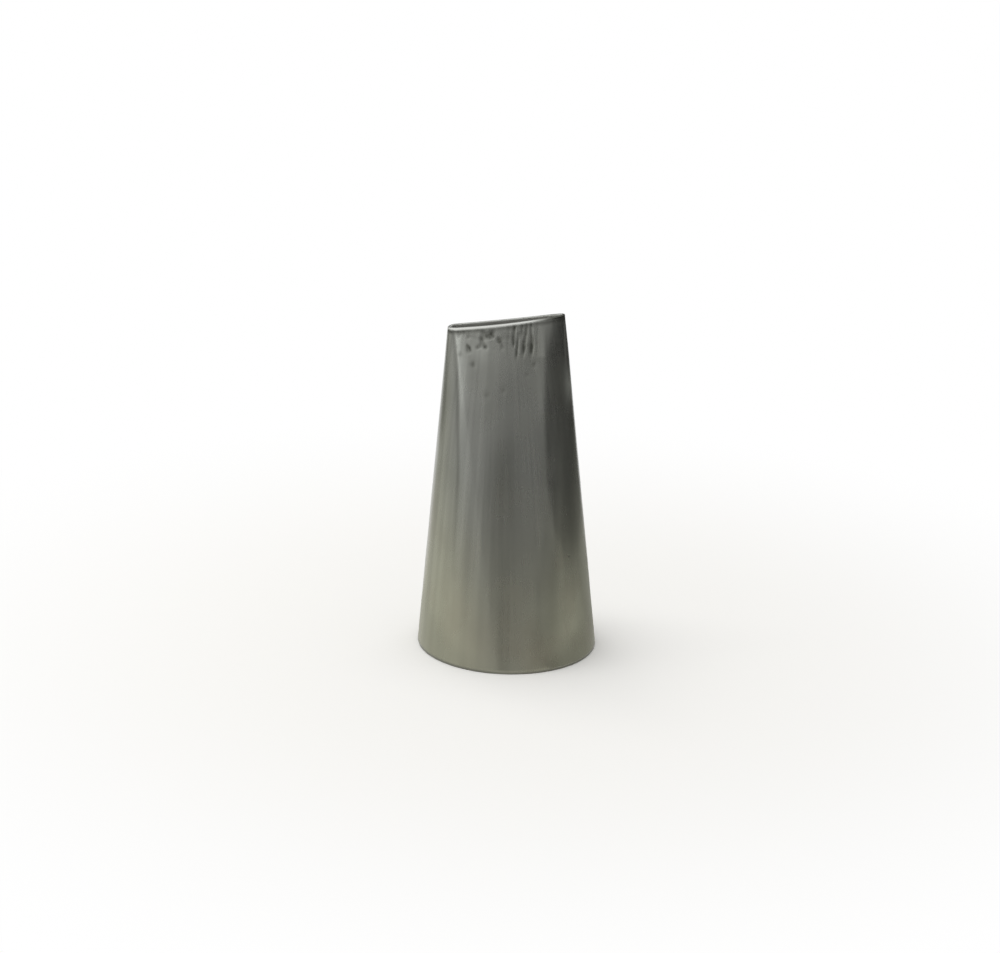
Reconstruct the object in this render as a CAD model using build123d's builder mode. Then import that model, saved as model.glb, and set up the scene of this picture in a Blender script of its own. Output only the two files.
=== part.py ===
"""Large petal piping nozzle: one piece of stainless sheet, drawn to a cone and pressed to a teardrop mouth.

The outline of the cone is a circle at the base and a closed teardrop of tangent arcs at the mouth.
Every straight line down the wall joins the points of the two outlines that face the same way,
so the sheet bends but doesn't stretch, as it does in the press.
"""

import os
from math import cos, radians, sin

from build123d import *

# Driving sizes, in millimetres
base_radius = 13.0  # outside of the sheet at the base
sheet = 0.5  # thickness of the drawn sheet
wide_end_height = 47.4  # rim of the mouth at its wide, low end
narrow_end_height = 49.7  # rim of the mouth at its narrow, high end
slot_length = 15.23  # opening at the top of the untrimmed cone, from the wide end to the narrow tip
slot_shift = -1.26  # middle of the opening from the axis of the base
slot_wide_radius = 0.23  # inside of the wide end there
slot_tip_radius = 0.06  # inside of the narrow tip there
rim_hollow = 0.2  # how far the middle of the rim dips under a straight trim
mouth_outer_round = 0.2  # tumbled edge round the outside of the mouth
mouth_inner_round = 0.05  # tumbled edge round the opening
base_round = 0.15  # both edges of the base
trim_allowance = 0.1  # sheet above the rim before the mouth is trimmed
overrun = 1.0  # how far a cutting shape runs past what it cuts

# Where the wall changes its curve, as the direction it faces: 0 is towards the narrow tip, 180 the wide end
tip_turn = 70.0
tail_turn = 86.0
wide_turn = 95.0

blank_height = max(wide_end_height, narrow_end_height) + trim_allowance  # cone before its mouth is trimmed


def facing(angle):
    """Unit vector of a wall that faces this way, in degrees."""
    return Vector(cos(radians(angle)), sin(radians(angle)))


def slot_bends():
    """Inside radii of the tail and of the crowned wall, which close the teardrop at its stated length."""
    tip, tail, wide = facing(tip_turn), facing(tail_turn), facing(wide_turn)
    width_left = slot_wide_radius * wide.Y - slot_tip_radius * tip.Y
    length_left = slot_length - slot_tip_radius * (1 - tip.X) - slot_wide_radius * (1 + wide.X)
    tail_rise, tail_run = tail.Y - tip.Y, tip.X - tail.X
    wall_rise, wall_run = wide.Y - tail.Y, tail.X - wide.X
    mix = tail_rise * wall_run - wall_rise * tail_run
    tail_radius = (width_left * wall_run - wall_rise * length_left) / mix
    wall_radius = (tail_rise * length_left - width_left * tail_run) / mix
    return tail_radius, wall_radius


def slot_arcs():
    """Arcs of the opening, anticlockwise from the tip: centre, inside radius, start and sweep in degrees."""
    tail_radius, wall_radius = slot_bends()
    tip_centre = Vector(slot_shift + slot_length / 2 - slot_tip_radius, 0)
    tail_centre = tip_centre + facing(tip_turn) * (slot_tip_radius - tail_radius)
    wall_centre = tail_centre + facing(tail_turn) * (tail_radius - wall_radius)
    wide_centre = wall_centre + facing(wide_turn) * (wall_radius - slot_wide_radius)
    tail_sweep = tail_turn - tip_turn
    wall_sweep = wide_turn - tail_turn
    front_wall_centre = Vector(wall_centre.X, -wall_centre.Y)
    front_tail_centre = Vector(tail_centre.X, -tail_centre.Y)
    return [
        (tip_centre, slot_tip_radius, -tip_turn, 2 * tip_turn),
        (tail_centre, tail_radius, tip_turn, tail_sweep),
        (wall_centre, wall_radius, tail_turn, wall_sweep),
        (wide_centre, slot_wide_radius, wide_turn, 360 - 2 * wide_turn),
        (front_wall_centre, wall_radius, -wide_turn, wall_sweep),
        (front_tail_centre, tail_radius, -tail_turn, tail_sweep),
    ]


def wall_outline(height, depth):
    """Face inside the wall's outline at a height, measured this deep into the sheet from its outside."""
    share = height / blank_height
    with BuildSketch(Plane.XY.offset(height)) as outline:
        with BuildLine():
            for centre, radius, start, sweep in slot_arcs():
                arc_radius = base_radius + (radius + sheet - base_radius) * share - depth
                CenterArc(centre * share, arc_radius, start, sweep)
        make_face()
    return outline.sketch


def rim_height(x):
    """Height of the trimmed rim at a place along the mouth: a slant with a slight hollow."""
    half_mouth = slot_length / 2 + sheet
    along = (x - slot_shift) / half_mouth
    slant = (wide_end_height + narrow_end_height) / 2 + along * (narrow_end_height - wide_end_height) / 2
    return slant - rim_hollow * (1 - along**2)


def rim_of(body):
    """Trimmed face round the mouth: the only high face with a hole in it."""
    low_end = min(wide_end_height, narrow_end_height)
    high = body.faces().filter_by(lambda face: face.bounding_box().min.Z > low_end - overrun)
    return high.filter_by(lambda face: len(face.inner_wires()) == 1)[0]


# Drawn and pressed cone, a little long at both ends, then trimmed flat at the base
with BuildPart() as nozzle_body:
    loft([wall_outline(-overrun, 0), wall_outline(blank_height, 0)], ruled=True)
    loft([wall_outline(-2 * overrun, sheet), wall_outline(blank_height, sheet)], ruled=True, mode=Mode.SUBTRACT)
    split(bisect_by=Plane.XY, keep=Keep.TOP)

    # Mouth trimmed on a slant, higher at the narrow tip
    with BuildSketch(Plane.XZ):
        with BuildLine():
            wide_side = (-base_radius, rim_height(-base_radius))
            middle = (slot_shift, rim_height(slot_shift))
            narrow_side = (base_radius, rim_height(base_radius))
            clear = max(blank_height, wide_side[1], narrow_side[1]) + overrun
            ThreePointArc(wide_side, middle, narrow_side)
            Polyline(narrow_side, (base_radius, clear), (-base_radius, clear), wide_side)
        make_face()
    extrude(amount=base_radius, both=True, mode=Mode.SUBTRACT)

    # Tumbled edges of the base and of the mouth
    base_edges = nozzle_body.edges().filter_by(lambda edge: edge.bounding_box().max.Z < base_round)
    fillet(base_edges, base_round)
    fillet(rim_of(nozzle_body).outer_wire().edges(), mouth_outer_round)
    fillet(rim_of(nozzle_body).inner_wires()[0].edges(), mouth_inner_round)
nozzle_body.part.label = "nozzle_body"

os.makedirs("parts", exist_ok=True)
export_step(nozzle_body.part, "parts/nozzle_body.step")
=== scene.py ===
from math import cos, exp, hypot, pi, radians, sin
import bmesh
import bpy
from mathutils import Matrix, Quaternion, Vector, noise


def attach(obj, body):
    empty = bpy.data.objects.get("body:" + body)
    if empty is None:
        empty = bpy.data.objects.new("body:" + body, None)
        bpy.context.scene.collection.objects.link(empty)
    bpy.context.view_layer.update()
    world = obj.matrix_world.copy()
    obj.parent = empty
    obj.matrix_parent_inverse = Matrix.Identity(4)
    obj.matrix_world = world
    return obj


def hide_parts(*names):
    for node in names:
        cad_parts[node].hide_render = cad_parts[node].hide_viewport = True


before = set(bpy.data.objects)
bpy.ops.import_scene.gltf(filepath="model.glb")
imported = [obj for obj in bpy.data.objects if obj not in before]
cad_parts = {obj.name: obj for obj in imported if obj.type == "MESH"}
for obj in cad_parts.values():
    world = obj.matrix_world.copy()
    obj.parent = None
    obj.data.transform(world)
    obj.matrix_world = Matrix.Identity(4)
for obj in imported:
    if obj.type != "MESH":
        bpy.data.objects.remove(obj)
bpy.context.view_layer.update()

mm = 0.001


# camera: where the photographer stood, found from the base ellipse and the side outlines
camera = {
    "distance": 400,  # mm from the middle of the base
    "elevation": 22.34,  # degrees
    "roll": 1.6,
    "aim": (-1.61, 0, 25.24),  # mm
    "focalPixels": 2726,
    "imageWidth": 1000,  # pixels
    "sensorWidth": 36,  # mm
    "clip": (0.01, 20),  # m
}


def makeCamera(c):
    up = radians(c["elevation"])
    place = Vector((0, -cos(up), sin(up))) * c["distance"] * mm
    aim = Vector(c["aim"]) * mm
    data = bpy.data.cameras.new("photoCamera")
    data.sensor_width = c["sensorWidth"]
    data.lens = c["focalPixels"] / c["imageWidth"] * c["sensorWidth"]
    data.clip_start, data.clip_end = c["clip"]
    obj = bpy.data.objects.new("photoCamera", data)
    bpy.context.collection.objects.link(obj)
    obj.location = place
    level = (aim - place).to_track_quat("-Z", "Y")
    obj.rotation_mode = "QUATERNION"
    obj.rotation_quaternion = level @ Quaternion((0, 0, 1), radians(c["roll"]))
    bpy.context.scene.camera = obj
    print("camera set")


# nozzle: sizes in mm, the same shape as the solid's and a hair inside it, plus what only the eye needs
nozzle = {
    "baseRadius": 12.99,
    "sheet": 0.5,
    "wideEndHeight": 47.4,
    "narrowEndHeight": 49.69,
    "blankHeight": 49.8,
    "slotLength": 15.23,
    "slotShift": -1.26,
    "wideRadius": 0.23,
    "tipRadius": 0.06,
    "rimHollow": 0.2,
    "rimRound": 0.2,
    "slotRound": 0.16,
    "baseRound": 0.15,
    "turns": (70.0, 86.0, 95.0),  # where tip, tail, crowned wall and wide end meet, as the way the wall faces
    "tipColumns": 64,
    "tailColumns": 14,
    "wallColumns": 84,
    "wideColumns": 84,
    "bodyRows": 84,
    "mouthRows": 44,
    "mouthBand": 8.0,  # height of the close rows under the rim
    "insideRows": 40,
    "insideSpacing": 0.8,  # under 1 brings these rows closer together at the mouth
    "edgeSteps": 3,  # round each edge of the base and round the slot's edge
    "rimSteps": 6,  # round the outside of the rim
    "nominalHeight": 48,  # turns mm near the foot and the rim into shares of the way up
    "heightPasses": 6,  # rounds that settle how high the rim is over a point of the leaning wall
    "drawnRadius": 9,  # of the tube that the draw lines are laid out on
    "footTrue": 3,  # mm above the foot before ridges and waves are full
    "rimTrue": 0.8,  # mm under the rim before waves are full
    "wave": (5.0, 0.018),  # mm across and deep: the pressed sheet is never quite true
    "ripple": (0.9, 30, 0.003),  # mm across, tall and deep: left by the drawing die
    # ridges where the press shut on the sheet, front and back: place along X at each height, how proud it is
    # there, how strong the painted highlight along it is, over how many mm that fades on its left and right, and
    # how dark the painted shade in the groove on its left is
    "ridges": (
        {
            "path": ((12, -7.6), (26.6, -7.12), (35, -7.35), (40.4, -7.62),
                     (43.2, -7.85), (46.3, -8.25), (50, -8.6)),
            "proud": ((14, 0), (24, 0.05), (44, 0.07), (48.5, 0.02)),
            "spread": 0.9,
            "round": 0.22,
            "highlight": ((14, 0), (20, 0.12), (27, 0.2), (36, 0.26), (39.5, 0.44), (43, 0.56), (47.6, 0.45)),
            "highlightFades": (0.16, 1.0),
            "creaseShade": ((10, 0), (18, 0.2), (40, 0.28), (47, 0.1)),
        },
        {
            "path": ((8, 9.3), (15.5, 7.66), (21, 6.1), (27, 5.0), (35, 4.45), (43, 4.2), (50, 4.0)),
            "proud": ((8, 0), (18, 0.15), (26, 0.24), (44, 0.26), (48.5, 0.05)),
            "spread": 2.0,
            "round": 0.25,
            "highlight": ((0, 0), (50, 0)),
            "highlightFades": (0.5, 0.5),
            "creaseShade": ((0, 0), (50, 0)),
        },
    ),
    "creaseShadeBeside": (-0.42, 0.2),  # painted shade in the groove: mm from the ridge, and half as wide as this
    "highlightUnder": (0.4, 1.5),  # mm under the rim where the painted highlight starts and is full
    # painted highlight patches, made rougher as if rubbed, then smears of old grease: where, reach across and
    # up, how much
    "rubbedHighlights": (((8.0, -1.2, 39.8), 1.3, 2.6, 1), ((-5.0, -2.4, 44.8), 1.5, 1.6, 0.3)),
    "smears": (
        ((-1.2, -6.4, 26.5), 1.7, 9.0, 0.9),
        ((2.6, -2.3, 44.5), 1.9, 2.6, 0.8),
        ((-9.9, -2.1, 37.0), 1.2, 5.0, 0.7),
        ((-10.7, -2.7, 24.0), 1.3, 6.5, 0.8),
        ((-4.0, -11.8, 4.5), 4.5, 4.5, 0.32),
        ((4.5, -11.5, 3.0), 3.0, 2.6, 0.35),
        ((5.6, 5.0, 24.0), 2.0, 8.0, 0.8),
    ),
    # scuffs under the mouth, from tools and other nozzles: small blots on the left, upright strokes on the right
    "scuffs": {
        "ends": ((-8.4, 0), (-7.4, 1), (2.5, 1), (3.4, 0)),  # how thick along X
        "blots": ((-2.4, 1), (-1.4, 0.2)),
        "blotBand": (2.2, 1.5),  # mm under the rim to the middle of the band, and its reach
        "blotSize": 0.9,
        "blotLevel": (-0.07, 2.7),  # added to the noise, then how much what is over 0 counts
        "strokes": ((-1.2, 0), (-0.4, 1)),
        "strokeBand": (2.5, 2.2),
        "strokeSize": (0.42, 3.6),  # across and tall
        "strokeLevel": (0.02, 2.6),
        "strokeTop": (0.2, 0.7),  # they thicken by this at the rim, which fades over so many mm
        "seeds": (3.7, 23.7),  # other marks on the back than on the front
        "strokeSeed": 29.3,
        "rimClear": 0.5,  # mm under the rim before they are full
        "depth": 0.035,
    },
    # single dints on the front: X and height of the middle, reach across and up, how deep
    "dints": (
        (-5.8, 42.6, 0.32, 0.4, 0.6),
        (2.8, 42.8, 0.25, 0.3, 0.5),
        (1.8, 41.4, 0.25, 0.3, 0.4),
        (-1.4, 39.3, 0.35, 0.3, 0.5),
        (-3.7, 38.6, 0.4, 0.35, 0.5),
        (-1.0, 22.6, 1.1, 0.5, 0.25),
    ),
}


def facing(angle):
    return Vector((cos(radians(angle)), sin(radians(angle))))


def mouthArcs(n):
    # arcs of the opening from the middle of the tip: centre, inside radius, first angle, last angle, columns
    tipTurn, tailTurn, wideTurn = n["turns"]
    tip, tail, wide = facing(tipTurn), facing(tailTurn), facing(wideTurn)
    rt, rw = n["tipRadius"], n["wideRadius"]
    width = rw * wide.y - rt * tip.y
    length = n["slotLength"] - rt * (1 - tip.x) - rw * (1 + wide.x)
    a, b = tail.y - tip.y, wide.y - tail.y
    c, d = tip.x - tail.x, tail.x - wide.x
    tailRadius = (width * d - b * length) / (a * d - b * c)
    wallRadius = (a * length - width * c) / (a * d - b * c)
    tipCentre = Vector((n["slotShift"] + n["slotLength"] / 2 - rt, 0))
    tailCentre = tipCentre + tip * (rt - tailRadius)
    wallCentre = tailCentre + tail * (tailRadius - wallRadius)
    wideCentre = wallCentre + wide * (wallRadius - rw)
    flip = Vector((1, -1))
    return [
        (tipCentre, rt, 0, tipTurn, n["tipColumns"] // 2),
        (tailCentre, tailRadius, tipTurn, tailTurn, n["tailColumns"]),
        (wallCentre, wallRadius, tailTurn, wideTurn, n["wallColumns"]),
        (wideCentre, rw, wideTurn, 360 - wideTurn, n["wideColumns"]),
        (wallCentre * flip, wallRadius, 360 - wideTurn, 360 - tailTurn, n["wallColumns"]),
        (tailCentre * flip, tailRadius, 360 - tailTurn, 360 - tipTurn, n["tailColumns"]),
        (tipCentre, rt, 360 - tipTurn, 360, n["tipColumns"] // 2),
    ]


def rimHeight(n, x):
    along = (x - n["slotShift"]) / (n["slotLength"] / 2 + n["sheet"])
    low, high = n["wideEndHeight"], n["narrowEndHeight"]
    slant = (low + high) / 2 + along * (high - low) / 2
    return slant - n["rimHollow"] * (1 - along**2)


def between(points, where):
    # straight-line reading of a list of (where, value) pairs
    for (a, u), (b, v) in zip(points, points[1:]):
        if where < b:
            return u + (v - u) * max(0, (where - a) / (b - a))
    return points[-1][1]


def ridgeLift(n, x, z):
    # how far the press ridges push the wall out, their painted highlight, and the painted shade in the groove
    # beside
    lift, highlight, creaseShade = 0, 0, 0
    beside, wide = n["creaseShadeBeside"]
    for ridge in n["ridges"]:
        off = x - between(ridge["path"], z)
        lift += between(ridge["proud"], z) * exp(-hypot(off, ridge["round"]) / ridge["spread"])
        highlight += between(ridge["highlight"], z) * exp(-((off / ridge["highlightFades"][off > 0]) ** 2))
        creaseShade += between(ridge["creaseShade"], z) * exp(-(((off - beside) / wide) ** 2))
    return lift, highlight, creaseShade


def patchesAt(patches, place):
    # how much of a painted highlight patch or a grease smear lies on a place, at most 1
    total = 0
    for where, across, tall, amount in patches:
        off = place - Vector(where)
        total += amount * exp(-((hypot(off.x, off.y) / across) ** 2) - (off.z / tall) ** 2)
    return min(1, total)


def dentAt(n, place, under):
    # how deep a mark is at a place, as a share of the deepest: bands of noise under the rim, and single dints
    s, front = n["scuffs"], place.y < 0
    x, z = place.x, place.z
    seed = s["seeds"][0 if front else 1]
    cut, gain = s["blotLevel"]
    blots = noise.noise(Vector((x / s["blotSize"], seed, z))) + cut
    blots = max(0, blots) * gain * between(s["blots"], x)
    cut, gain = s["strokeLevel"]
    strokeAcross, strokeTall = s["strokeSize"]
    thicker, fade = s["strokeTop"]
    strokes = noise.noise(Vector((x / strokeAcross, seed + s["strokeSeed"], z / strokeTall))) + cut
    strokes = max(0, strokes + thicker * exp(-under / fade)) * gain * between(s["strokes"], x)
    total = 0
    for marks, (middle, reach) in ((blots, s["blotBand"]), (strokes, s["strokeBand"])):
        total += marks * exp(-(((under - middle) / reach) ** 4)) * between(s["ends"], x)
    if front:
        for dintX, dintZ, across, tall, deep in n["dints"]:
            total += deep * exp(-(((x - dintX) / across) ** 2) - ((z - dintZ) / tall) ** 2)
    return min(1, total)


def wallPoint(n, column, rise, lift, depth):
    # point on the wall: rise is the share of the way up to the rim, lift is mm above that and depth is mm into
    # the sheet
    centre, radius, angle = column
    base, sheet = n["baseRadius"], n["sheet"]
    z = rise * n["nominalHeight"] + lift
    for _ in range(n["heightPasses"]):
        share = z / n["blankHeight"]
        flat = centre * share + facing(angle) * (base + (radius + sheet - base) * share - depth)
        if rise == 0:
            break
        z = rise * rimHeight(n, flat.x) + lift
    return Vector((flat.x, flat.y, z))


def wallProfile(n):
    # steps round the cut through the sheet, up the outside, over the rim and down the inside: rise, lift, depth
    sheet, foot, lip, slot = n["sheet"], n["baseRound"], n["rimRound"], n["slotRound"]
    rows, mouthRows, insideRows = n["bodyRows"], n["mouthRows"], n["insideRows"]
    full = n["nominalHeight"]
    footTop, mouthStart = foot / full, 1 - n["mouthBand"] / full
    lipStart, slotStart = 1 - lip / full, 1 - slot / full
    edgeTurns = [radians(90 * k / n["edgeSteps"]) for k in range(n["edgeSteps"] + 1)]
    rimTurns = [radians(90 * k / n["rimSteps"]) for k in range(n["rimSteps"] + 1)]
    insideShares = [(1 - k / insideRows) ** n["insideSpacing"] for k in range(1, insideRows + 1)]
    steps = [(0, foot * (1 - cos(a)), foot * (1 - sin(a))) for a in edgeTurns[:-1]]
    steps += [(footTop + (mouthStart - footTop) * k / rows, 0, 0) for k in range(rows)]
    steps += [(mouthStart + (lipStart - mouthStart) * k / mouthRows, 0, 0) for k in range(mouthRows)]
    steps += [(1, -lip * (1 - sin(a)), lip * (1 - cos(a))) for a in rimTurns]
    steps += [(1, -slot * (1 - cos(a)), sheet - slot * (1 - sin(a))) for a in edgeTurns]
    steps += [(footTop + (slotStart - footTop) * share, 0, sheet) for share in insideShares]
    steps += [(0, foot * (1 - sin(a)), sheet - foot * (1 - cos(a))) for a in edgeTurns[1:]]
    return steps


def makeNozzle(n):
    columns = []
    for centre, radius, first, last, count in mouthArcs(n):
        columns += [(centre, radius, first + (last - first) * k / count) for k in range(count)]
    bm = bmesh.new()
    tag = bm.verts.layers.int.new("column")
    drawn = bm.verts.layers.float_vector.new("drawPlace")
    names = ("underRim", "dent", "ridgeHighlight", "creaseShade", "rubbedHighlight", "smear", "inside")
    layers = [bm.verts.layers.float.new(name) for name in names]
    underRim, dent, ridgeHighlight, creaseShadeLayer, rubbedHighlight, smear, inside = layers
    tube, footTrue, rimTrue = n["drawnRadius"], n["footTrue"], n["rimTrue"]
    scuffClear, scuffDepth = n["scuffs"]["rimClear"], n["scuffs"]["depth"]
    highlightFrom, highlightFull = n["highlightUnder"]
    waveAcross, waveDeep = n["wave"]
    rippleAcross, rippleTall, rippleDeep = n["ripple"]

    def place(ring, step):
        rise, lift, depth = step
        ring.sort(key=lambda v: v[tag])
        spots = [wallPoint(n, columns[v[tag]], rise, lift, depth) for v in ring]
        lengths = [(spots[k] - spots[k - 1]).length for k in range(len(spots))]
        around, run = sum(lengths), 0
        for k, (v, spot) in enumerate(zip(ring, spots)):
            run += lengths[k] if k else 0
            turn = 2 * pi * run / around
            sheetPlace = Vector((tube * cos(turn), tube * sin(turn), spot.z))  # as if the cone were a tube
            under = max(0, rimHeight(n, spot.x) - spot.z)
            aboveFoot = min(1, spot.z / footTrue)
            free = aboveFoot * min(1, under / rimTrue)  # foot and rim edges stay true
            ridge, highlight, creaseShade = ridgeLift(n, spot.x, spot.z)
            mark = dentAt(n, spot, under) * min(1, under / scuffClear) if depth < n["rimRound"] else 0
            wave = noise.noise(spot / waveAcross) * waveDeep
            ripple = Vector((sheetPlace.x / rippleAcross, sheetPlace.y / rippleAcross, spot.z / rippleTall))
            push = ridge * aboveFoot + (wave + noise.noise(ripple) * rippleDeep) * free
            out = facing(columns[v[tag]][2]) * (push - mark * scuffDepth)
            v.co = (spot + Vector((out.x, out.y, 0))) * mm
            v[drawn] = sheetPlace
            v[underRim] = under
            v[dent] = mark
            # painted highlight along the ridge and in patches, painted shade in the groove beside the ridge
            v[ridgeHighlight] = min(1, highlight) * min(1, max(0, (under - highlightFrom) / (highlightFull - highlightFrom)))
            v[creaseShadeLayer] = creaseShade
            v[rubbedHighlight] = patchesAt(n["rubbedHighlights"], spot)
            v[smear] = patchesAt(n["smears"], spot)
            v[inside] = 1 if depth > n["sheet"] - n["slotRound"] else 0

    steps = wallProfile(n)
    ring = bmesh.ops.create_circle(bm, segments=len(columns), radius=n["baseRadius"] * mm)["verts"]
    for k, v in enumerate(ring):
        v[tag] = k
    place(ring, steps[0])
    edges = firstEdges = bm.edges[:]
    for step in steps[1:]:
        grown = bmesh.ops.extrude_edge_only(bm, edges=edges)["geom"]
        ring = [g for g in grown if isinstance(g, bmesh.types.BMVert)]
        fresh = set(ring)
        edges = [g for g in grown if isinstance(g, bmesh.types.BMEdge) and all(v in fresh for v in g.verts)]
        place(ring, step)
    bmesh.ops.bridge_loops(bm, edges=firstEdges + edges)
    bmesh.ops.recalc_face_normals(bm, faces=bm.faces)
    obj = meshObject("nozzle", bm)
    for face in obj.data.polygons:
        face.use_smooth = True
    print("nozzle made", len(obj.data.vertices), "vertices", len(obj.data.polygons), "faces")
    return obj


def meshObject(name, bm):
    mesh = bpy.data.meshes.new(name)
    bm.to_mesh(mesh)
    bm.free()
    obj = bpy.data.objects.new(name, mesh)
    bpy.context.collection.objects.link(obj)
    return obj


def toLinear(hexColour):
    # an sRGB hex colour as the linear red, green, blue and full opacity that the nodes take
    values = [int(hexColour[k : k + 2], 16) / 255 for k in (1, 3, 5)]
    return tuple(v / 12.92 if v <= 0.04045 else ((v + 0.055) / 1.055) ** 2.4 for v in values) + (1,)


def add(tree, kind, inputs, out=0, **settings):
    # adds one node, sets what it is told, links or fills its inputs and gives back one of its outputs
    node = tree.nodes.new("ShaderNode" + kind)
    for name, value in settings.items():
        setattr(node, name, value)
    for name, value in inputs.items():
        if isinstance(value, bpy.types.NodeSocket):
            tree.links.new(value, node.inputs[name])
        else:
            node.inputs[name].default_value = value
    return node.outputs[out] if node.outputs else node


# drawn and tumbled stainless sheet: to the eye a dull grey mirror with faint upright draw lines, a thin film of
# grease here and there and dirt in its scuffs; painted into the colour: highlights on the press ridge and rubbed
# patches, shade in the groove, under the lip and at the foot, a paler inside, and a warm reflection low down
steel = {
    "clean": "#9e9f99",
    "low": "#9f9f92",  # painted warm reflection towards the foot
    "film": "#8b8c85",  # thin greasy film left after washing
    "filmWarmReflection": "#928c7f",  # browner towards the foot: the same painted warm reflection
    "dirtAndShade": "#54554f",  # what stays in scuffs and pits, and the colour of the painted shade
    "paintedHighlight": "#dcdfd8",  # painted highlight on the press ridge and on the rubbed patches
    "edge": "#d6d7d2",  # trimmed and polished mouth
    "inside": "#c9c9c3",  # painted light: the inside lies in shade and is painted paler than the outside
    "warmReflectionFrom": (31, 5),  # mm high, where the painted warm reflection starts and is full
    # patterns: mm across, mm tall, how much finer detail
    "patterns": {
        "grain": (0.35, 16, 2),  # real grain is finer, drawn as coarse as it shows
        "bands": (1.1, 45, 1.5),  # broad draw lines
        "film": (5, 7, 3),
        "speckle": (0.5, 0.7, 3),
    },
    "bandsRead": (0.36, 0.64),  # noise that counts as -1 and as 1
    "bandsStrong": (-2.0, -6.0, 0.35),  # along X they grow to full towards the wide end, from this share
    "bandsFade": (19, 6, 0.4),  # towards the foot they fade between these heights in mm, to this share
    "filmRead": (0.42, 0.72),  # noise that counts as clean and as covered
    "speckleRead": (0.3, 0.6, 0.4),  # noise where dirt and painted lip shade are thinnest, where full, and how thin they get
    "pitSpacing": 3.0,
    "pit": 0.2,  # mm across
    "pitCore": 0.3,  # share of its width at full depth
    "pitless": 0.8,  # share of the places for a pit that have none
    "footShade": (0.5, 0.25),  # mm high, where the painted shade line at the foot fades out and is full
    "lip": (0.42, 0.12),  # the polish ends and is full so far under the rim
    "lipShade": (1.0, 0.5, 0.2),  # a painted shade line under it: from, fullest, to
    "lipShadeEnd": (-5.5, -7.5, 0.55),  # along X it thickens to full towards the wide end, from this share
    "tarnish": (1.4, 5.4),  # along X the lip turns dark towards the narrow end
    # rubbed patches are painted highlight, foot is the painted shade line at the foot
    "covers": {"film": 0.3, "rubbedHighlight": 0.75, "foot": 0.55, "pits": 0.6},  # how much each hides what is under it
    "shades": {"bands": 0.09, "grain": 0.05},  # how far each pattern shifts the colour
    "roughness": 0.26,
    # what each adds to the roughness: the punch side stays dull, the lip is polished
    "roughened": {"grain": 0.06, "film": 0.03, "inside": 0.49, "dent": 0.12, "rubbedHighlight": 0.16, "lip": -0.04},
    "relief": {"grain": 0.0008, "bands": 0.0006, "speckle": 0.0004, "pits": -0.015},  # mm
}


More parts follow.
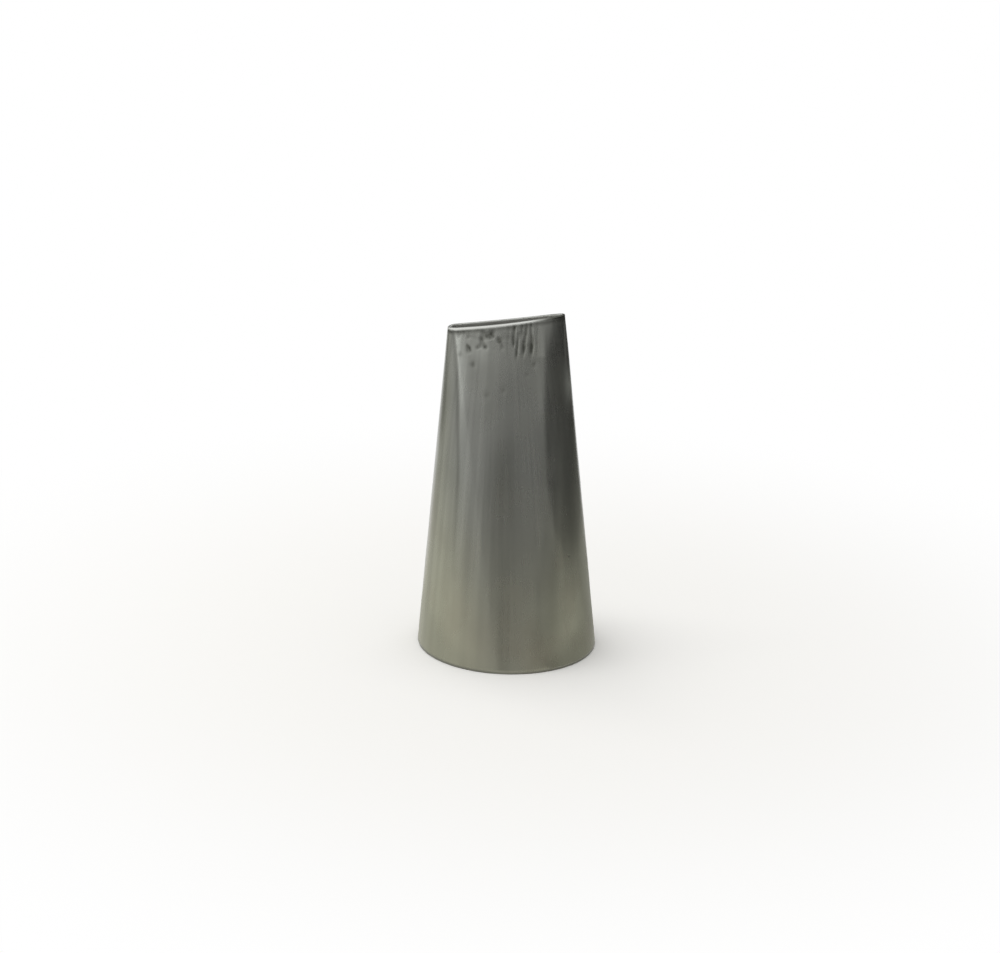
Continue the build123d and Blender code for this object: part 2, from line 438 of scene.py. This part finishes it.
def drawnStainless(s):
    material = bpy.data.materials.new("drawnStainless")
    material.use_nodes = True
    tree = material.node_tree
    shader = tree.nodes["Principled BSDF"]
    shader.inputs["Metallic"].default_value = 1

    coords = add(tree, "TexCoord", {}, "Object")
    inMm = add(tree, "VectorMath", {0: coords, "Scale": 1000}, operation="SCALE")
    height = add(tree, "SeparateXYZ", {0: inMm}, "Z")
    along = height.node.outputs["X"]
    drawn = add(tree, "Attribute", {}, "Vector", attribute_name="drawPlace")
    names = ("underRim", "dent", "ridgeHighlight", "rubbedHighlight", "creaseShade", "smear", "inside")
    marks = [add(tree, "Attribute", {}, "Fac", attribute_name=name) for name in names]
    under, dent, paintedHighlight, rubbedHighlight, creaseShade, smear, inside = marks
    smooth = {"interpolation_type": "SMOOTHSTEP"}

    # patterns: the draw lines follow the sheet, film and speckle don't
    noises = {}
    for name, (across, tall, detail) in s["patterns"].items():
        place = drawn if name in ("grain", "bands") else inMm
        spread = add(tree, "Mapping", {"Vector": place, "Scale": (1 / across, 1 / across, 1 / tall)})
        noises[name] = add(tree, "TexNoise", {"Vector": spread, "Scale": 1, "Detail": detail})
    grain, speckle = noises["grain"], noises["speckle"]
    least, most = s["bandsRead"]
    bands = add(tree, "MapRange", {"Value": noises["bands"], "From Min": least, "From Max": most, "To Min": -1})
    weakX, strongX, weak = s["bandsStrong"]
    streaky = add(tree, "MapRange", {"Value": along, "From Min": weakX, "From Max": strongX, "To Min": weak})
    bands = add(tree, "Math", {0: bands, 1: streaky}, operation="MULTIPLY")
    fadeTop, fadeEnd, left = s["bandsFade"]
    faded = add(tree, "MapRange", {"Value": height, "From Min": fadeEnd, "From Max": fadeTop, "To Min": left})
    bands = add(tree, "Math", {0: bands, 1: faded}, operation="MULTIPLY")
    least, most = s["filmRead"]
    film = add(tree, "MapRange", {"Value": noises["film"], "From Min": least, "From Max": most}, **smooth)
    least, most, left = s["speckleRead"]
    blotchy = add(tree, "MapRange", {"Value": speckle, "From Min": least, "From Max": most, "To Min": left})
    cells = add(tree, "TexVoronoi", {"Vector": inMm, "Scale": 1 / s["pitSpacing"]}, "Distance")
    drop = add(tree, "SeparateColor", {0: cells.node.outputs["Color"]})
    rare = add(tree, "Math", {0: drop, 1: s["pitless"]}, operation="GREATER_THAN")
    size = s["pit"] / s["pitSpacing"]
    pits = add(tree, "MapRange", {"Value": cells, "From Min": size, "From Max": s["pitCore"] * size}, **smooth)
    pits = add(tree, "Math", {0: pits, 1: rare}, operation="MULTIPLY")

    # the mouth: polished lip that tarnishes, and a painted shade line under it
    lipEnd, lipFull = s["lip"]
    lip = add(tree, "MapRange", {"Value": under, "From Min": lipEnd, "From Max": lipFull}, **smooth)
    lowest, fullest, highest = s["lipShade"]
    lipShadeLine = add(tree, "MapRange", {"Value": under, "From Min": lowest, "From Max": fullest})
    stop = add(tree, "MapRange", {"Value": under, "From Min": highest, "From Max": fullest})
    lipShadeLine = add(tree, "Math", {0: lipShadeLine, 1: stop}, operation="MULTIPLY")
    lipShadeLine = add(tree, "Math", {0: lipShadeLine, 1: blotchy}, operation="MULTIPLY")
    thinX, thickX, thin = s["lipShadeEnd"]
    thick = add(tree, "MapRange", {"Value": along, "From Min": thinX, "From Max": thickX, "To Min": thin})
    cleanX, darkX = s["tarnish"]
    tarnish = add(tree, "MapRange", {"Value": along, "From Min": cleanX, "From Max": darkX}, **smooth)
    tarnish = add(tree, "Math", {0: tarnish, 1: inside}, operation="SUBTRACT", use_clamp=True)

    # the foot: a painted shade line just above its edge, where it meets the floor
    footEnd, footFull = s["footShade"]
    footShadeLine = add(tree, "MapRange", {"Value": height, "From Min": footEnd, "From Max": footFull})

    # colour
    hexes = ("clean", "low", "film", "filmWarmReflection", "dirtAndShade", "paintedHighlight", "edge", "inside")
    clean, low, filmClean, filmWarmReflection, dirtAndShade, highlightColour, polished, paintedInsideLight = (toLinear(s[name]) for name in hexes)
    covers, shades = s["covers"], s["shades"]
    mix = {"out": 2, "data_type": "RGBA"}
    # painted warm reflection towards the foot, on the clean metal and on the grease
    coldHeight, warmHeight = s["warmReflectionFrom"]
    warm = add(tree, "MapRange", {"Value": height, "From Min": coldHeight, "From Max": warmHeight}, **smooth)
    colour = add(tree, "Mix", {"Factor": warm, 6: clean, 7: low}, **mix)
    amount = add(tree, "Math", {0: film, 1: covers["film"], 2: smear}, operation="MULTIPLY_ADD", use_clamp=True)
    grease = add(tree, "Mix", {"Factor": warm, 6: filmClean, 7: filmWarmReflection}, **mix)
    colour = add(tree, "Mix", {"Factor": amount, 6: colour, 7: grease}, **mix)
    # painted highlight along the press ridge, then on the rubbed patches
    colour = add(tree, "Mix", {"Factor": paintedHighlight, 6: colour, 7: highlightColour}, **mix)
    amount = add(tree, "Math", {0: rubbedHighlight, 1: covers["rubbedHighlight"]}, operation="MULTIPLY")
    colour = add(tree, "Mix", {"Factor": amount, 6: colour, 7: highlightColour}, **mix)
    shade = add(tree, "Math", {0: bands, 1: shades["bands"], 2: 1}, operation="MULTIPLY_ADD")
    shade = add(tree, "Math", {0: grain, 1: shades["grain"], 2: shade}, operation="MULTIPLY_ADD")
    shade = add(tree, "Math", {0: shade, 1: shades["grain"] / 2}, operation="SUBTRACT")
    colour = add(tree, "VectorMath", {0: colour, "Scale": shade}, operation="SCALE")
    # dirt in scuffs and pits, plus painted shade in the groove, under the lip and at the foot
    dirtAndShadeAmount = add(tree, "Math", {0: dent, 1: blotchy, 2: creaseShade}, operation="MULTIPLY_ADD")
    dirtAndShadeAmount = add(tree, "Math", {0: lipShadeLine, 1: thick, 2: dirtAndShadeAmount}, operation="MULTIPLY_ADD")
    dirtAndShadeAmount = add(tree, "Math", {0: footShadeLine, 1: covers["foot"], 2: dirtAndShadeAmount}, operation="MULTIPLY_ADD")
    dirtAndShadeAmount = add(tree, "Math", {0: pits, 1: covers["pits"], 2: dirtAndShadeAmount}, operation="MULTIPLY_ADD", use_clamp=True)
    colour = add(tree, "Mix", {"Factor": dirtAndShadeAmount, 6: colour, 7: dirtAndShade}, **mix)
    # painted light: the shaded inside is made paler
    colour = add(tree, "Mix", {"Factor": inside, 6: colour, 7: paintedInsideLight}, **mix)
    edge = add(tree, "Mix", {"Factor": tarnish, 6: polished, 7: dirtAndShade}, **mix)
    colour = add(tree, "Mix", {"Factor": lip, 6: colour, 7: edge}, **mix)
    tree.links.new(colour, shader.inputs["Base Color"])

    # roughness and relief, each the sum of what its patterns add
    masks = {"grain": grain, "bands": bands, "film": film, "speckle": speckle, "pits": pits}
    masks.update({"inside": inside, "dent": dent, "rubbedHighlight": rubbedHighlight, "lip": lip})
    rough = s["roughness"] - s["roughened"]["grain"] / 2  # the grain's noise is a half on average
    for name, more in s["roughened"].items():
        rough = add(tree, "Math", {0: masks[name], 1: more, 2: rough}, operation="MULTIPLY_ADD")
    tree.links.new(rough, shader.inputs["Roughness"])
    relief = 0
    for name, tall in s["relief"].items():
        relief = add(tree, "Math", {0: masks[name], 1: tall, 2: relief}, operation="MULTIPLY_ADD")
    bump = add(tree, "Bump", {"Strength": 1, "Distance": mm, "Height": relief})
    tree.links.new(bump, shader.inputs["Normal"])
    print("steel made")
    return material


# floor: plain pale sheet that keeps the contact shadow and turns to plain white further off
floor = {
    "half": 3000,  # mm
    "colour": "#f2f1ee",
    "roughness": 0.9,
    "specular": 0.1,
    "shadowReach": (30, 110),  # mm from the nozzle, where plain white starts and is full
}


def makeFloor(f):
    bm = bmesh.new()
    bmesh.ops.create_grid(bm, x_segments=1, y_segments=1, size=f["half"] * mm)
    obj = meshObject("floor", bm)
    material = bpy.data.materials.new("paleSheet")
    material.use_nodes = True
    tree = material.node_tree
    shader = tree.nodes["Principled BSDF"]
    shader.inputs["Base Color"].default_value = toLinear(f["colour"])
    shader.inputs["Roughness"].default_value = f["roughness"]
    shader.inputs["Specular IOR Level"].default_value = f["specular"]
    coords = add(tree, "TexCoord", {}, "Object")
    away = add(tree, "VectorMath", {0: coords}, "Value", operation="LENGTH")
    near, far = f["shadowReach"]
    inputs = {"Value": away, "From Min": near * mm, "From Max": far * mm}
    fade = add(tree, "MapRange", inputs, interpolation_type="SMOOTHSTEP")
    amount = add(tree, "Math", {0: fade, 1: seenRays(tree)}, operation="MULTIPLY")
    white = add(tree, "Emission", {"Color": (1, 1, 1, 1), "Strength": 1})
    mixed = add(tree, "MixShader", {0: amount, 1: shader.outputs[0], 2: white})
    tree.links.new(mixed, tree.nodes["Material Output"].inputs["Surface"])
    obj.data.materials.append(material)
    print("floor made")


def seenRays(tree):
    # 1 for what the camera sees, straight or in metal or glass
    direct = add(tree, "LightPath", {}, "Is Camera Ray")
    mirrored, through = direct.node.outputs["Is Glossy Ray"], direct.node.outputs["Is Transmission Ray"]
    seen = add(tree, "Math", {0: direct, 1: mirrored}, operation="MAXIMUM")
    return add(tree, "Math", {0: seen, 1: through}, operation="MAXIMUM")


# plain grey studio cards round the table, mirrored by the steel only: turn from the camera in degrees, right is
# more, lowest and highest in mm, how light
cards = {
    "reach": 320,  # mm from the nozzle
    "warm": "#fffff4",  # the lying ones are a touch olive
    "lyingHeight": 0.4,  # mm over the floor
    "facet": 5,  # degrees
    "upright": (
        ((-135, -60), (0, 90), 0.62),
        ((-60, -7.5), (0, 90), 0.48),
        ((-135, -7.5), (90, 330), 1.04),
        ((-7.5, 0), (0, 15), 0.43),
        ((-7.5, 0), (15, 90), 0.0),
        ((-7.5, 0), (90, 115), 0.3),
        ((-7.5, 0), (115, 330), 0.89),
        ((0, 30), (0, 45), 0.46),
        ((0, 15), (45, 115), 0.2),
        ((0, 15), (115, 330), 0.52),
        ((15, 30), (45, 330), 0.12),
        ((30, 52.5), (0, 30), 0.36),
        ((30, 90), (30, 330), 0.065),
        ((52.5, 150), (0, 30), 0.12),
        ((90, 150), (30, 330), 0.31),
        ((150, 225), (0, 90), 0.45),
        ((150, 225), (90, 330), 0.35),
    ),
    # lying just over the floor: turn, nearest and furthest in mm from the nozzle, how light
    "lying": (
        ((-135, 30), (13, 30), 0.74),
        ((-135, -105), (30, 140), 0.8),
        ((-135, -105), (140, 320), 0.34),
        ((-105, 30), (30, 140), 0.92),
        ((-105, 30), (140, 320), 0.61),
        ((30, 105), (13, 30), 0.45),
        ((30, 90), (30, 80), 0.73),
        ((30, 45), (80, 320), 0.61),
        ((45, 75), (80, 140), 0.63),
        ((45, 75), (140, 320), 0.32),
        ((75, 90), (80, 140), 0.37),
        ((90, 105), (30, 80), 0.56),
        ((105, 150), (13, 80), 0.42),
        ((90, 150), (80, 140), 0.18),
        ((75, 150), (140, 320), 0.07),
    ),
}


def makeCards(c):
    bm = bmesh.new()
    light = bm.faces.layers.float_vector.new("light")
    white, warm = Vector((1, 1, 1)), Vector(toLinear(c["warm"])[:3])
    reach, over = c["reach"], c["lyingHeight"]
    strips = [(turn, (reach, low), (reach, high), white * level) for turn, (low, high), level in c["upright"]]
    strips += [(turn, (near, over), (far, over), warm * level) for turn, (near, far), level in c["lying"]]
    known = set()
    for (first, last), inner, outer, colour in strips:
        ends = [bm.verts.new(Vector((*(facing(first - 90) * r), z)) * mm) for r, z in (inner, outer)]
        edge = bm.edges.new(ends)
        steps, angle = max(1, round((last - first) / c["facet"])), radians(last - first)
        bmesh.ops.spin(bm, geom=ends + [edge], cent=(0, 0, 0), axis=(0, 0, 1), angle=angle, steps=steps)
        for face in set(bm.faces) - known:
            face[light] = colour
        known = set(bm.faces)
    obj = meshObject("greyCards", bm)
    material = bpy.data.materials.new("greyCard")
    material.use_nodes = True
    tree = material.node_tree
    tree.nodes.clear()
    level = add(tree, "Attribute", {}, "Color", attribute_name="light")
    glow = add(tree, "Emission", {"Color": level, "Strength": 1})
    add(tree, "OutputMaterial", {"Surface": glow})
    obj.data.materials.append(material)
    obj.visible_camera = False
    obj.visible_diffuse = False
    obj.visible_shadow = False
    obj.visible_transmission = False
    print("cards set", len(strips))


# world: white behind everything, and a plain soft sky for the floor
world = {
    "behind": 1.0,  # what the camera and the steel see
    "sky": 0.5,  # what lights the floor
}


def makeWorld(w):
    scene = bpy.context.scene
    scene.world = bpy.data.worlds.new("plainRoom")
    scene.world.use_nodes = True
    tree = scene.world.node_tree
    tree.nodes.clear()
    level = add(tree, "MapRange", {"Value": seenRays(tree), "To Min": w["sky"], "To Max": w["behind"]})
    back = add(tree, "Background", {"Color": (1, 1, 1, 1), "Strength": level})
    add(tree, "OutputWorld", {"Surface": back})
    scene.view_settings.view_transform = "Standard"
    print("world set")


# one broad lamp overhead, hidden from the steel, which mirrors the cards and the white room
lamps = {
    "overhead": {"place": (-120, 60, 600), "size": 500, "watts": 2.6},  # mm
}


def makeLamps(settings):
    for name, lamp in settings.items():
        data = bpy.data.lights.new(name, "AREA")
        data.size = lamp["size"] * mm
        data.energy = lamp["watts"]
        obj = bpy.data.objects.new(name, data)
        bpy.context.collection.objects.link(obj)
        obj.location = Vector(lamp["place"]) * mm
        obj.rotation_mode = "QUATERNION"
        obj.rotation_quaternion = (-obj.location).to_track_quat("-Z", "Y")
        obj.visible_glossy = False
    print("lamps set")


makeCamera(camera)
body = makeNozzle(nozzle)
body.data.materials.append(drawnStainless(steel))
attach(body, "root")
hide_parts("nozzle_body")
makeFloor(floor)
makeCards(cards)
makeWorld(world)
makeLamps(lamps)
